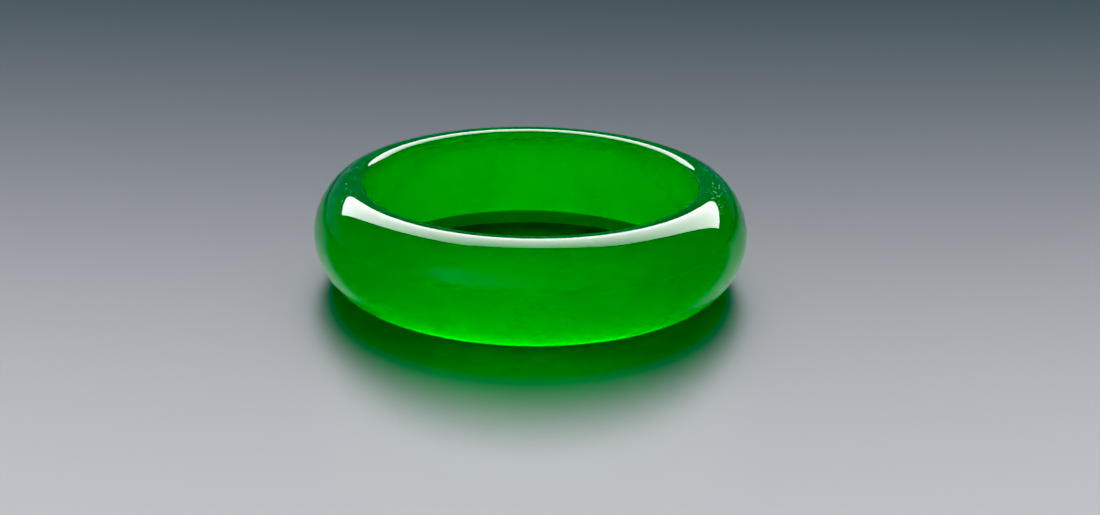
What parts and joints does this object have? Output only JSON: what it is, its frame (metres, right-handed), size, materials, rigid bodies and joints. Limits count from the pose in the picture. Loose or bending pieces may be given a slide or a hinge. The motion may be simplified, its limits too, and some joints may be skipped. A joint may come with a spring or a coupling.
{
  "type": "bangle bracelet",
  "caption": "Rigid one-piece bangle: a closed ring of polished translucent green stone, domed outside, straight inside, both inner edges eased.",
  "frame": {"origin": "centre of the circle on which the ring rests when it lies flat", "axes": "+Z along the ring's axis, up through the hole as it lies; X and Y are alike, because the ring is round"},
  "size_m": [0.074, 0.074, 0.018],
  "materials": {
    "green_stone": "high polish, translucent, with faint cloudy veins"
  },
  "bodies": {
    "root": {"bangle_ring": "green_stone"}
  },
  "joints": []
}
